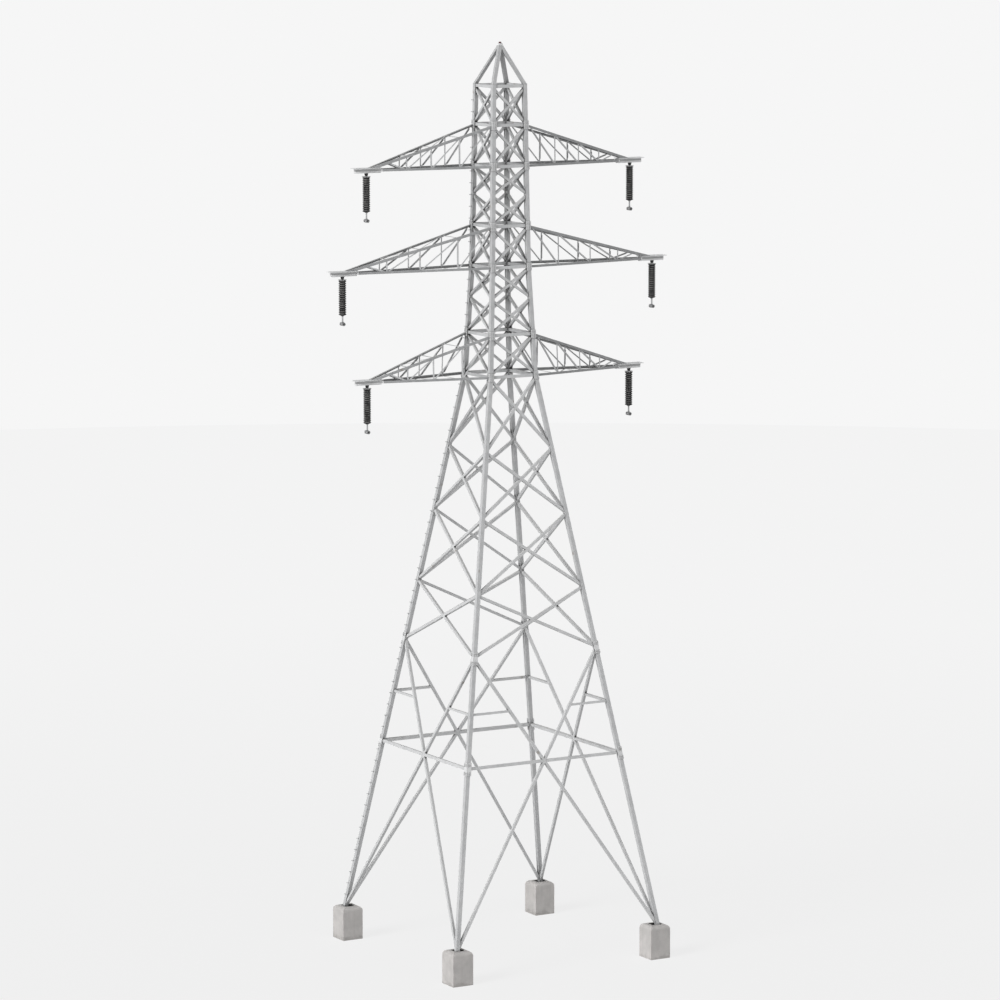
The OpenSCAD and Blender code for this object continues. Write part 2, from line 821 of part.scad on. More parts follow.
// Cross struts and diagonals between the two top chords, hung under their upper flanges
module top_lacing(k) {
    head = arm_head(k);
    land = arm_land(k);
    slope = unit([land.x - head.x, 0, land.z - head.z]);
    normal = cross(slope, [0, 1, 0]);
    dip = chord_t + chord_b * max(0, arm_out(k) * normal) + seat;
    depth = chord_t + seat + lace_t + bar_clear;
    spread = (head.y - land.y) / ((land.x - head.x) / slope.x);
    xs = [for (j = [0:2]) (post_place(k, j) - head.x) / slope.x];
    ys = [for (j = [0:2]) -head.y + spread * xs[j] - depth];
    on_axes([head.x, 0, head.z] - dip * normal, slope, [0, 1, 0])
        translate([0, 0, -lace_t])
            linear_extrude(lace_t) {
                for (j = [0:2])
                    lace_flat([xs[j], -ys[j]], [xs[j], ys[j]]);
                for (j = [0, 1])
                    zigzag(xs, ys, j, 1 - 2 * j);
            }
}

// Lacing of an arm: two sides, the bottom and the top
module arm_lacing(k, side) {
    color([0.66, 0.67, 0.68])
        raised()
            mirror([side < 0 ? 1 : 0, 0, 0]) {
                for (turn = [0, 1])
                    mirror([0, turn, 0])
                        side_lacing(k);
                bottom_lacing(k);
                top_lacing(k);
            }
}

// Children hung from the hinge pin of an arm
module on_pin(k, side) {
    raised()
        translate([side * reaches[k], 0, arm_levels[k] - web_drop - pin_drop])
            children();
}

// Stack of sheds on a solid core: each slopes down from the core to a thin rim
module insulator(k, side) {
    under_h = shed_under * shed_pitch;
    rim_top = under_h + shed_rim * shed_pitch;
    root_top = rim_top + shed_slope * shed_pitch;
    color([0.16, 0.16, 0.17])
        on_pin(k, side)
            translate([0, 0, -stack_bottom_drop])
                rotate_extrude($fn = 64)
                    polygon(concat(
                        [[0, 0]],
                        [for (n = [0:shed_count - 1])
                            let (z = n * shed_pitch)
                            each [
                                [core_d / 2, z],
                                [core_d / 2, z + rim_top],
                                [shed_d / 2, z + under_h],
                                [shed_d / 2, z + rim_top],
                                [core_d / 2, z + root_top]
                            ]],
                        [[core_d / 2, stack_len], [0, stack_len]]
                    ));
}

// Metal fittings of a string: eye and disc above the sheds, rod and conductor clamp below
module fittings(k, side) {
    boss_w = rod_d + 2 * boss_wall;
    eye_d = pin_d + 2 * eye_wall;
    color([0.76, 0.77, 0.78])
        on_pin(k, side) {
            difference() {
                union() {
                    rotate([90, 0, 0])
                        cylinder(d = eye_d, h = tongue_t, center = true, $fn = 48);
                    translate([-tongue_t / 2, -tongue_t / 2, -disc_drop - disc_t / 2])
                        cube([tongue_t, tongue_t, disc_drop + disc_t / 2]);
                    translate([0, 0, -disc_drop - disc_t])
                        cylinder(d = disc_d, h = disc_t, $fn = 64);
                }
                rotate([90, 0, 0])
                    cylinder(d = pin_d + 2 * eye_clear, h = 2 * tongue_t, center = true, $fn = 48);
            }
            translate([0, 0, -stack_bottom_drop - seat]) {
                translate([0, 0, -rod_d / 2])
                    cylinder(d = 2 * rod_d, h = rod_d / 2, $fn = 48);
                translate([0, 0, -rod_len])
                    cylinder(d = rod_d, h = rod_len, $fn = 48);
            }
            translate([0, 0, -clamp_drop])
                difference() {
                    union() {
                        rotate([90, 0, 0])
                            cylinder(d = clamp_d, h = clamp_len, center = true, $fn = 64);
                        translate([-boss_w / 2, -boss_w / 2, 0])
                            cube([boss_w, boss_w, clamp_drop - stack_bottom_drop - rod_len - 2 * seat]);
                    }
                    rotate([90, 0, 0])
                        cylinder(d = clamp_bore, h = 2 * clamp_len, center = true, $fn = 64);
                }
        }
}

for (i = [0:3]) {
    footing(i);
    leg(i);
    body_bracing(i);
    cage_bracing(i);
}
leg_splice_plates();
peak_frame();
peak_cap();
warning_lamp();
step_bolts();
for (k = [0:2])
    for (s = sides) {
        arm(k, s[0]);
        arm_lacing(k, s[0]);
        insulator(k, s[0]);
        fittings(k, s[0]);
    }
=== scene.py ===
# Lattice transmission pylon: finishes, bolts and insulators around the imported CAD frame.
import json
import math

import bmesh
import bpy
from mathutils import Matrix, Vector


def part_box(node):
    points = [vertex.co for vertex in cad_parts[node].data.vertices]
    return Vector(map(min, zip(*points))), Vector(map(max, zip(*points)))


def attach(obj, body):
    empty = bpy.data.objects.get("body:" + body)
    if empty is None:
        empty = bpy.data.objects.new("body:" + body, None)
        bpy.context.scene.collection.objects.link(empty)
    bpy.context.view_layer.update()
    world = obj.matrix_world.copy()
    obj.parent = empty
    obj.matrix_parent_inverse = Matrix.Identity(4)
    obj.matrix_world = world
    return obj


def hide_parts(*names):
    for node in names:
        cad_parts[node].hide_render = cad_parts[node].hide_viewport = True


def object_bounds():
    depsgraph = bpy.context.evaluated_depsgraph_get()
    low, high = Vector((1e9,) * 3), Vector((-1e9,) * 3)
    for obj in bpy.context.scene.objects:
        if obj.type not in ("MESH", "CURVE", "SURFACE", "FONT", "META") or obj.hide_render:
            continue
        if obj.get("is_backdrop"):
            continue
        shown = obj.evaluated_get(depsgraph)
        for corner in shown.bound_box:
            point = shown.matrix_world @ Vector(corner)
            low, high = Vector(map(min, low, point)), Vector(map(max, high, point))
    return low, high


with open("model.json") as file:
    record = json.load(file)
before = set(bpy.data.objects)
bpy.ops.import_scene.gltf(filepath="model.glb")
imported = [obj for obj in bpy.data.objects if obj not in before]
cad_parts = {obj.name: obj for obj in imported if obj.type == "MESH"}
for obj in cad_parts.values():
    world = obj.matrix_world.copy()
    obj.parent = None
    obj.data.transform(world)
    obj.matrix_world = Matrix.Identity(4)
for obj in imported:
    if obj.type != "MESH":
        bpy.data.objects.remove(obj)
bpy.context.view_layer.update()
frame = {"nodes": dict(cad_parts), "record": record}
nodes = frame["nodes"]
scene = bpy.context.scene
scene.view_settings.view_transform = "Standard"


# Camera: a long lens a hundred and sixty metres off, a little to the left of the tower's front
# and above its middle, so that the legs and arms keep nearly parallel lines.
VIEW_AZIMUTH = math.radians(-30.056)
VIEW_ELEVATION = math.radians(8.044)
VIEW_DISTANCE = 161.97
VIEW_AIM = Vector((0.0, 0.0, 15.622))
VIEW_LENS = 170.80
VIEW_SENSOR = 36.0
VIEW_REACH = 20 * VIEW_DISTANCE
view_back = Vector((
    math.sin(VIEW_AZIMUTH) * math.cos(VIEW_ELEVATION),
    -math.cos(VIEW_AZIMUTH) * math.cos(VIEW_ELEVATION),
    math.sin(VIEW_ELEVATION),
))
camera = bpy.data.objects.new("view_camera", bpy.data.cameras.new("view_camera"))
camera.data.lens = VIEW_LENS
camera.data.sensor_width = VIEW_SENSOR
camera.data.clip_end = VIEW_REACH
camera.location = VIEW_AIM + VIEW_DISTANCE * view_back
camera.rotation_mode = "QUATERNION"
camera.rotation_quaternion = (-view_back).to_track_quat("-Z", "Y")
scene.collection.objects.link(camera)
scene.camera = camera


# Studio floor: a wide round sweep of pale matt card that the tower stands on, a little darker in
# the middle. It shows its own paleness to the camera and keeps the soft shadows of the footings.
FLOOR_RADIUS = 146.5
FLOOR_SIDES = 128
FLOOR_NEAR = (0.812, 0.812, 0.812, 1.0)
FLOOR_FAR = (0.850, 0.850, 0.850, 1.0)
FLOOR_SPREAD = 70.0
FLOOR_SHADE = (0.085, 0.085, 0.085, 1.0)
FLOOR_BOUNCE = (0.780, 0.780, 0.780, 1.0)
MIX_UNDER = 6
MIX_OVER = 7
MIX_RESULT = 2


def add(tree, kind, inputs, **settings):
    """Places a shader node; inputs are values or the sockets that feed them."""
    made = tree.nodes.new("ShaderNode" + kind)
    for name, value in settings.items():
        setattr(made, name, value)
    for key, value in inputs.items():
        if isinstance(value, bpy.types.NodeSocket):
            tree.links.new(value, made.inputs[key])
        else:
            made.inputs[key].default_value = value
    return made


def calc(tree, operation, *values):
    """Result of one operation on values or sockets."""
    return add(tree, "Math", dict(enumerate(values)), operation=operation).outputs[0]


def blend(tree, mask, under, over):
    """Colour over another one, where the mask is; a mix node's colours go by number."""
    made = add(tree, "Mix", {"Factor": mask, MIX_UNDER: under, MIX_OVER: over}, data_type="RGBA")
    return made.outputs[MIX_RESULT]


def seen_directly(tree):
    """Mask of the rays that show a surface as it looks: from the camera, in gloss or in glass."""
    ray = add(tree, "LightPath", {}).outputs
    seen = calc(tree, "MAXIMUM", ray["Is Camera Ray"], ray["Is Glossy Ray"])
    return calc(tree, "MAXIMUM", seen, ray["Is Transmission Ray"])


def new_piece(name, points, faces, finish):
    """Object with one finish, from its points and faces."""
    mesh = bpy.data.meshes.new(name)
    mesh.from_pydata(points, [], faces)
    mesh.materials.append(finish)
    made = bpy.data.objects.new(name, mesh)
    scene.collection.objects.link(made)
    return made


floor_card = bpy.data.materials.new("floor_card")
floor_card.use_nodes = True
tree = floor_card.node_tree
tree.nodes.clear()
from_tower = add(tree, "VectorMath", {0: add(tree, "TexCoord", {}).outputs["Object"]}, operation="LENGTH")
spread = add(tree, "MapRange", {"Value": from_tower.outputs["Value"], "From Max": FLOOR_SPREAD})
pale = add(tree, "Emission", {"Color": blend(tree, spread.outputs[0], FLOOR_NEAR, FLOOR_FAR)})
shaded = add(tree, "BsdfDiffuse", {"Color": FLOOR_SHADE})
shown = add(tree, "AddShader", {0: pale.outputs[0], 1: shaded.outputs[0]})
bounce = add(tree, "BsdfDiffuse", {"Color": FLOOR_BOUNCE})
mixed = add(tree, "MixShader", {0: seen_directly(tree), 1: bounce.outputs[0], 2: shown.outputs[0]})
add(tree, "OutputMaterial", {"Surface": mixed.outputs[0]})
floor_turns = [2 * math.pi * i / FLOOR_SIDES for i in range(FLOOR_SIDES)]
floor_rim = [(FLOOR_RADIUS * math.cos(t), FLOOR_RADIUS * math.sin(t), 0.0) for t in floor_turns]
floor = new_piece("studio_floor", floor_rim, [list(range(FLOOR_SIDES))], floor_card)
floor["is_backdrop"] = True


# Studio light: a soft key lamp high on the left, a broad weaker one in front that reaches into the
# lattice, and the dim room around them. A lamp has its direction, strength and width.
LAMPS = [
    ("key_lamp", Vector((-0.86, -0.20, 0.50)), 2.60, math.radians(24)),
    ("front_lamp", Vector((0.05, -1.00, 0.06)), 0.92, math.radians(50)),
]
ROOM_FILL = (0.110, 0.111, 0.112, 1.0)
BACKDROP = (0.922, 0.922, 0.922, 1.0)
for name, towards, strength, width in LAMPS:
    lamp = bpy.data.objects.new(name, bpy.data.lights.new(name, "SUN"))
    lamp.data.energy = strength
    lamp.data.angle = width
    lamp.rotation_mode = "QUATERNION"
    lamp.rotation_quaternion = towards.to_track_quat("Z", "Y")
    scene.collection.objects.link(lamp)
room = bpy.data.worlds.new("room")
scene.world = room
room.use_nodes = True
tree = room.node_tree
tree.nodes.clear()
fill = add(tree, "Background", {"Color": ROOM_FILL})
backdrop = add(tree, "Background", {"Color": BACKDROP})
mixed = add(tree, "MixShader", {0: seen_directly(tree), 1: fill.outputs[0], 2: backdrop.outputs[0]})
add(tree, "OutputWorld", {"Surface": mixed.outputs[0]})


# Footings: four square blocks of concrete, cast in smooth forms, with rounded top edges and
# a pocket that the leg stands in, its walls painted near-black as shade. Rain and splashed soil
# stain them, and small air holes show.
FOOTINGS = ["footing_front_left", "footing_front_right", "footing_back_right", "footing_back_left"]
CONCRETE_LIGHT = (0.620, 0.597, 0.582, 1.0)
CONCRETE_DARK = (0.520, 0.504, 0.491, 1.0)
CONCRETE_STAIN = (0.390, 0.375, 0.361, 1.0)
CONCRETE_ROUGH = (0.82, 0.94)
CONCRETE_BUMP = 0.5
CONCRETE_DEPTH = 0.002
CONCRETE_RUNS = 7.0
CONCRETE_RAIN = 0.18
CLOUD_SCALE = 2.6
CLOUD_RANGE = (0.30, 0.70)
GRIT_SCALE = 55.0
GRIT_RANGE = (0.50, 0.85)
GRIT_SHARE = 0.5
SPLASH_HEIGHT = 0.16
SPLASH_RANGE = (0.25, 0.75)
SPLASH_WANDER = 0.10
SPLASH_SHARE = 0.7
PIT_SCALE = 34.0
PIT_RANGE = (0.20, 0.10)
PIT_RARITY = (0.62, 0.66)
PIT_SHARE = 0.75
POCKET_SHADE = (0.045, 0.044, 0.043, 1.0)
POCKET_HALF = 0.1705
POCKET_FLOOR = 1.090
POCKET_BRIM = 1.152
POCKET_EDGE = 0.002


def start_group(name, inputs, outputs):
    """Shader node group with named sockets: its tree, and the sockets inside it."""
    group = bpy.data.node_groups.new(name, "ShaderNodeTree")
    for label, kind, value in inputs:
        socket = group.interface.new_socket(label, in_out="INPUT", socket_type="NodeSocket" + kind)
        socket.default_value = value
    for label, kind in outputs:
        group.interface.new_socket(label, in_out="OUTPUT", socket_type="NodeSocket" + kind)
    return group, group.nodes.new("NodeGroupInput").outputs, group.nodes.new("NodeGroupOutput").inputs


def effect(tree, group, inputs):
    """Mask of a shared effect, placed in a finish."""
    return add(tree, "Group", inputs, node_tree=group).outputs["Mask"]


def ramp(tree, value, low, high, to_low=0.0, to_high=1.0):
    """Value mapped from one range to another, with smooth ends."""
    made = add(
        tree, "MapRange",
        {"Value": value, "From Min": low, "From Max": high, "To Min": to_low, "To Max": to_high},
        interpolation_type="SMOOTHSTEP",
    )
    return made.outputs[0]


def times(tree, a, b):
    """Product of two values."""
    return calc(tree, "MULTIPLY", a, b)


def frame_place(tree):
    """Coordinates of a surface point, in the frame at rest."""
    return add(tree, "SeparateXYZ", {0: add(tree, "TexCoord", {}).outputs["Object"]}).outputs


def new_finish(name):
    """Empty finish: the material, its node tree and the sockets of its shader."""
    made = bpy.data.materials.new(name)
    made.use_nodes = True
    return made, made.node_tree, made.node_tree.nodes["Principled BSDF"].inputs


# Rain streaks: long thin runs that the rain leaves on upright faces.
STREAK_ALONG = 0.45
STREAK_RANGE = (0.48, 0.72)
STREAK_SLOPES = (0.75, 0.30)
rain_streaks, outer, inner = start_group(
    "rain_streaks", [("Across", "Float", 9.0), ("Strength", "Float", 0.5)], [("Mask", "Float")])
coords = add(rain_streaks, "TexCoord", {}).outputs["Object"]
stretch = add(rain_streaks, "CombineXYZ", {0: outer["Across"], 1: outer["Across"], 2: STREAK_ALONG})
runs = add(rain_streaks, "VectorMath", {0: coords, 1: stretch.outputs[0]}, operation="MULTIPLY")
noise = add(rain_streaks, "TexNoise", {"Vector": runs.outputs[0], "Scale": 1.0, "Detail": 4.0})
upright = add(rain_streaks, "SeparateXYZ", {0: add(rain_streaks, "NewGeometry", {}).outputs["Normal"]})
steep = ramp(rain_streaks, calc(rain_streaks, "ABSOLUTE", upright.outputs[2]), *STREAK_SLOPES)
wet = times(rain_streaks, ramp(rain_streaks, noise.outputs[0], *STREAK_RANGE), steep)
rain_streaks.links.new(times(rain_streaks, wet, outer["Strength"]), inner["Mask"])

concrete, tree, skin = new_finish("cast_concrete")
coords = add(tree, "TexCoord", {}).outputs["Object"]
place = frame_place(tree)
clouds = add(
    tree, "TexNoise", {"Vector": coords, "Scale": CLOUD_SCALE, "Detail": 7.0, "Roughness": 0.62}).outputs[0]
grit = add(
    tree, "TexNoise", {"Vector": coords, "Scale": GRIT_SCALE, "Detail": 4.0, "Roughness": 0.7}).outputs[0]
pits = add(tree, "TexVoronoi", {"Vector": coords, "Scale": PIT_SCALE}).outputs
rare = add(tree, "SeparateColor", {0: pits["Color"]}).outputs[0]
pit_mask = times(tree, ramp(tree, pits["Distance"], *PIT_RANGE), ramp(tree, rare, *PIT_RARITY))
tone = blend(tree, ramp(tree, clouds, *CLOUD_RANGE), CONCRETE_DARK, CONCRETE_LIGHT)
tone = blend(tree, ramp(tree, grit, *GRIT_RANGE, 0.0, GRIT_SHARE), tone, CONCRETE_DARK)
streaks = effect(tree, rain_streaks, {"Across": CONCRETE_RUNS, "Strength": CONCRETE_RAIN})
tone = blend(tree, streaks, tone, CONCRETE_STAIN)
wander = ramp(tree, clouds, *SPLASH_RANGE, -SPLASH_WANDER, SPLASH_WANDER)
splash = ramp(tree, calc(tree, "ADD", place[2], wander), SPLASH_HEIGHT, 0.0, 0.0, SPLASH_SHARE)
tone = blend(tree, splash, tone, CONCRETE_STAIN)
tone = blend(tree, times(tree, pit_mask, PIT_SHARE), tone, CONCRETE_STAIN)
footing_low, footing_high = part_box("footing_front_right")
footing_place = (footing_low.x + footing_high.x) / 2
above_floor = ramp(tree, place[2], POCKET_FLOOR, POCKET_FLOOR + POCKET_EDGE)
in_pocket = times(tree, above_floor, ramp(tree, place[2], POCKET_BRIM + POCKET_EDGE, POCKET_BRIM))
for axis in (0, 1):
    off = calc(tree, "SUBTRACT", calc(tree, "ABSOLUTE", place[axis]), footing_place)
    far = calc(tree, "ABSOLUTE", off)
    in_pocket = times(tree, in_pocket, ramp(tree, far, POCKET_HALF + POCKET_EDGE, POCKET_HALF))
# Painted shade: the walls of the pocket are darkened to near-black.
tone = blend(tree, in_pocket, tone, POCKET_SHADE)
tree.links.new(tone, skin["Base Color"])
tree.links.new(ramp(tree, clouds, *CLOUD_RANGE, *CONCRETE_ROUGH), skin["Roughness"])
relief = calc(tree, "SUBTRACT", grit, pit_mask)
bump = add(tree, "Bump", {"Strength": CONCRETE_BUMP, "Distance": CONCRETE_DEPTH, "Height": relief})
tree.links.new(bump.outputs[0], skin["Normal"])


def dress(names, finish):
    """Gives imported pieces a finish."""
    for name in names:
        for slot in nodes[name].material_slots:
            slot.material = finish


dress(FOOTINGS, concrete)


# Legs: square hollow steel sections, hot-dip galvanised in five lengths and set end to end under
# the wrapped plates. The zinc has dulled to a matt light grey with a faint crystal pattern, and
# inside the cage, between the close bars, it is painted darker as shade.
LEGS = ["leg_front_left", "leg_front_right", "leg_back_right", "leg_back_left"]
LEG_LIGHT = (0.685, 0.689, 0.693, 1.0)
LEG_DARK = (0.515, 0.520, 0.526, 1.0)
# Dark tone of the painted shade in corners and in the lattice, and of grime at the joints.
ZINC_SHADE_GRIME = (0.060, 0.059, 0.058, 1.0)
ZINC_RUST = (0.230, 0.185, 0.140, 1.0)
ZINC_DUST = (0.600, 0.590, 0.570, 1.0)
ZINC_RUNS = 14.0
ZINC_FILM = 6.0
ZINC_METAL = 0.08
ZINC_SPECULAR = 0.3
ZINC_BUMP = 0.25
ZINC_DEPTH = 0.0006
EDGE_BAND_WIDTH = 0.004
EDGE_LIGHT_SHARE = 0.5
SPECK_SCALE = 1.6
SPECK_SHARE = 0.6
JOINT_REACH = 0.10
LATTICE_REACH = 0.70
CAGE_FOOT = 19.4
CAGE_FADE = 0.8
CAGE_REACH = 0.45
CAGE_SHADE = 0.85

# Zinc spangle: crystals of the zinc layer, its cloudy patina, and the tone of each bath.
CRYSTAL_SHARE = 0.30
PATINA_SCALE = 5.0
PATINA_RANGE = (0.30, 0.70)
PATINA_SHARE = 0.40
BATH_SCALE = 0.5
BATH_RANGE = (0.35, 0.65)
BATH_SHARE = 0.22
SHADE_RANGE = (0.2, 0.8)
SHADE_ROUGH = (0.66, 0.50)
zinc_spangle, outer, inner = start_group(
    "zinc_spangle",
    [("Crystals", "Float", 60.0), ("Light", "Color", LEG_LIGHT), ("Dark", "Color", LEG_DARK)],
    [("Color", "Color"), ("Roughness", "Float"), ("Height", "Float")])
coords = add(zinc_spangle, "TexCoord", {}).outputs["Object"]
crystals = add(zinc_spangle, "TexVoronoi", {"Vector": coords, "Scale": outer["Crystals"]})
facets = add(zinc_spangle, "SeparateColor", {0: crystals.outputs["Color"]}).outputs[0]
patina = add(zinc_spangle, "TexNoise", {"Vector": coords, "Scale": PATINA_SCALE, "Detail": 7.0}).outputs[0]
bath = add(zinc_spangle, "TexNoise", {"Vector": coords, "Scale": BATH_SCALE, "Detail": 2.0}).outputs[0]
facets = ramp(zinc_spangle, facets, 0.0, 1.0, 0.0, CRYSTAL_SHARE)
patina = ramp(zinc_spangle, patina, *PATINA_RANGE, 0.0, PATINA_SHARE)
bath = ramp(zinc_spangle, bath, *BATH_RANGE, 0.0, BATH_SHARE)
shade = calc(zinc_spangle, "ADD", calc(zinc_spangle, "ADD", facets, patina), bath)
zinc_spangle.links.new(blend(zinc_spangle, shade, outer["Dark"], outer["Light"]), inner["Color"])
zinc_spangle.links.new(ramp(zinc_spangle, shade, *SHADE_RANGE, *SHADE_ROUGH), inner["Roughness"])
zinc_spangle.links.new(shade, inner["Height"])

# Settled dust: a pale film on faces that look up.
DUST_SLOPES = (0.15, 0.85)
DUST_RANGE = (0.25, 0.60)
settled_dust, outer, inner = start_group(
    "settled_dust", [("Scale", "Float", ZINC_FILM), ("Strength", "Float", 0.5)], [("Mask", "Float")])
coords = add(settled_dust, "TexCoord", {}).outputs["Object"]
noise = add(settled_dust, "TexNoise", {"Vector": coords, "Scale": outer["Scale"], "Detail": 5.0})
facing = add(settled_dust, "SeparateXYZ", {0: add(settled_dust, "NewGeometry", {}).outputs["Normal"]})
film = times(
    settled_dust, ramp(settled_dust, facing.outputs[2], *DUST_SLOPES),
    ramp(settled_dust, noise.outputs[0], *DUST_RANGE))
settled_dust.links.new(times(settled_dust, film, outer["Strength"]), inner["Mask"])

# Edge wear and highlight: a narrow lighter band along corners, both zinc rubbed by handling and a
# painted highlight where the edges catch the light.
EDGE_TURNS = (0.995, 0.90)
edge_wear_and_highlight, outer, inner = start_group("edge_wear_and_highlight", [("Width", "Float", EDGE_BAND_WIDTH)], [("Mask", "Float")])
rounded = add(edge_wear_and_highlight, "Bevel", {"Radius": outer["Width"]}, samples=4).outputs[0]
flat = add(edge_wear_and_highlight, "NewGeometry", {}).outputs["True Normal"]
turn = add(edge_wear_and_highlight, "VectorMath", {0: rounded, 1: flat}, operation="DOT_PRODUCT")
edge_wear_and_highlight.links.new(ramp(edge_wear_and_highlight, turn.outputs["Value"], *EDGE_TURNS), inner["Mask"])

# Rust specks: rare small spots where the zinc was knocked through.
SPECK_RANGE = (0.13, 0.06)
SPECK_RARITY = (0.55, 0.60)
FRAY_SCALE = 45.0
FRAY_RANGE = (0.3, 0.7)
FRAY_DEPTH = 0.05
rust_specks, outer, inner = start_group(
    "rust_specks",
    [("Scale", "Float", SPECK_SCALE), ("Strength", "Float", SPECK_SHARE)],
    [("Mask", "Float")])
coords = add(rust_specks, "TexCoord", {}).outputs["Object"]
cells = add(rust_specks, "TexVoronoi", {"Vector": coords, "Scale": outer["Scale"]}).outputs
rough = add(rust_specks, "TexNoise", {"Vector": coords, "Scale": FRAY_SCALE, "Detail": 4.0}).outputs[0]
fray = ramp(rust_specks, rough, *FRAY_RANGE, -FRAY_DEPTH, FRAY_DEPTH)
near = calc(rust_specks, "ADD", cells["Distance"], fray)
rare = add(rust_specks, "SeparateColor", {0: cells["Color"]}).outputs[0]
spot = times(rust_specks, ramp(rust_specks, near, *SPECK_RANGE), ramp(rust_specks, rare, *SPECK_RARITY))
rust_specks.links.new(times(rust_specks, spot, outer["Strength"]), inner["Mask"])

# Shade and grime: a mask that darkens where other surfaces crowd close, painted as the shade that
# falls in corners, gaps and the close lattice, and as grime along welds, plates and bolt heads.
OCCLUSION_RANGE = (0.90, 0.45)
shade_and_grime, outer, inner = start_group(
    "shade_and_grime", [("Reach", "Float", 0.05), ("Strength", "Float", 0.5)], [("Mask", "Float")])
open_sky = add(shade_and_grime, "AmbientOcclusion", {"Distance": outer["Reach"]}, samples=6).outputs["AO"]
shade_grime = ramp(shade_and_grime, open_sky, *OCCLUSION_RANGE)
shade_and_grime.links.new(times(shade_and_grime, shade_grime, outer["Strength"]), inner["Mask"])


def galvanised(name, light, dark, crystals=60.0, streaks=0.25, dust=0.35, shade_grime=0.6, lattice_shade=0.35):
    """Finish of galvanised steel, from its own tones, crystal size, weathering and painted shade."""
    made, tree, skin = new_finish(name)
    zinc = add(
        tree, "Group", {"Crystals": crystals, "Light": light, "Dark": dark}, node_tree=zinc_spangle).outputs
    runs = effect(tree, rain_streaks, {"Across": ZINC_RUNS, "Strength": streaks})
    film = effect(tree, settled_dust, {"Scale": ZINC_FILM, "Strength": dust})
    # A lighter band on the corners: rubbed zinc, and a painted highlight.
    worn_and_lit = effect(tree, edge_wear_and_highlight, {"Width": EDGE_BAND_WIDTH})
    specks = effect(tree, rust_specks, {"Scale": SPECK_SCALE, "Strength": SPECK_SHARE})
    # Painted shade: darker where pieces meet, also standing for grime there, and, with the longer reach,
    # darker between the close bars of the lattice.
    joint_shade_grime = effect(tree, shade_and_grime, {"Reach": JOINT_REACH, "Strength": shade_grime})
    lattice_shade_mask = effect(tree, shade_and_grime, {"Reach": LATTICE_REACH, "Strength": lattice_shade})
    tone = blend(tree, runs, zinc["Color"], dark)
    tone = blend(tree, film, tone, ZINC_DUST)
    tone = blend(tree, times(tree, worn_and_lit, EDGE_LIGHT_SHARE), tone, light)
    tone = blend(tree, specks, tone, ZINC_RUST)
    tone = blend(tree, lattice_shade_mask, tone, ZINC_SHADE_GRIME)
    tone = blend(tree, joint_shade_grime, tone, ZINC_SHADE_GRIME)
    tree.links.new(tone, skin["Base Color"])
    tree.links.new(zinc["Roughness"], skin["Roughness"])
    skin["Metallic"].default_value = ZINC_METAL
    skin["Specular IOR Level"].default_value = ZINC_SPECULAR
    bump = add(tree, "Bump", {"Strength": ZINC_BUMP, "Distance": ZINC_DEPTH, "Height": zinc["Height"]})
    tree.links.new(bump.outputs[0], skin["Normal"])
    return made


def overlay(tree, mask, colour):
    """Lays a colour over what a finish shows, where the mask is."""
    base = tree.nodes["Principled BSDF"].inputs["Base Color"]
    tree.links.new(blend(tree, mask, base.links[0].from_socket, colour), base)


leg_zinc = galvanised("leg_zinc", LEG_LIGHT, LEG_DARK, streaks=0.15, lattice_shade=0.15)
tree = leg_zinc.node_tree
# Painted shade: above the foot of the cage the legs are darkened where the close bars crowd round them.
in_cage = ramp(tree, frame_place(tree)[2], CAGE_FOOT, CAGE_FOOT + CAGE_FADE)
cage_shade = effect(tree, shade_and_grime, {"Reach": CAGE_REACH, "Strength": CAGE_SHADE})
overlay(tree, times(tree, cage_shade, in_cage), ZINC_SHADE_GRIME)
dress(LEGS, leg_zinc)


# Splice plates: bent plates that wrap the legs where two lengths meet and where the arms start.
# They were dipped later than the legs and are a little brighter. Hexagon bolts in two columns
# hold them near their upper and lower edges.
PLATE_LIGHT = (0.840, 0.843, 0.846, 1.0)
PLATE_DARK = (0.730, 0.734, 0.738, 1.0)
BOLT_LIGHT = (0.740, 0.743, 0.746, 1.0)
BOLT_DARK = (0.570, 0.573, 0.576, 1.0)
BOLT_ACROSS = 0.046
BOLT_HEIGHT = 0.020
BOLT_COLUMNS = (0.24, 0.76)
BOLT_ROWS = (0.040, 0.105)
FULL_PLATE = 0.2
SAME_POINT = 0.0001
SAME_PLANE = 0.01
FACING_OUT = 0.9
WASHER_SHARE = 0.2
WASHER_RADIUS = 0.68
WASHER_SIDES = 16
HEAD_RADIUS = 0.577
HEAD_SIDES = 6
plate_zinc = galvanised(
    "plate_zinc", PLATE_LIGHT, PLATE_DARK, crystals=45.0, streaks=0.18, shade_grime=0.15, lattice_shade=0.1)
bolt_zinc = galvanised("bolt_zinc", BOLT_LIGHT, BOLT_DARK, crystals=150.0, streaks=0.0, dust=0.2, shade_grime=0.3)
dress(["leg_splice_plates"], plate_zinc)


def ring_faces(first, count):
    """Faces between a ring of points and the ring that follows it."""
    faces = []
    for i in range(count):
        after = (i + 1) % count
        faces.append([first + i, first + after, first + count + after, first + count + i])
    return faces


def hex_bolts(name, places, across, height, body, finish):
    """Hexagon heads on washers; a place is a point, the way out of the face and a way along it."""
    washer = WASHER_SHARE * height
    rounds = (
        (WASHER_RADIUS * across, 0.0, washer, WASHER_SIDES),
        (HEAD_RADIUS * across, washer, height, HEAD_SIDES),
    )
    points = []
    faces = []
    for at, out, side in places:
        up = out.cross(side)
        for radius, low, high, count in rounds:
            first = len(points)
            for level in (low, high):
                for i in range(count):
                    turn = 2 * math.pi * i / count
                    points.append(at + radius * (math.cos(turn) * side + math.sin(turn) * up) + level * out)
            faces.append([first + i for i in reversed(range(count))])
            faces.append([first + count + i for i in range(count)])
            faces += ring_faces(first, count)
    made = new_piece(name, points, faces, finish)
    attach(made, body)


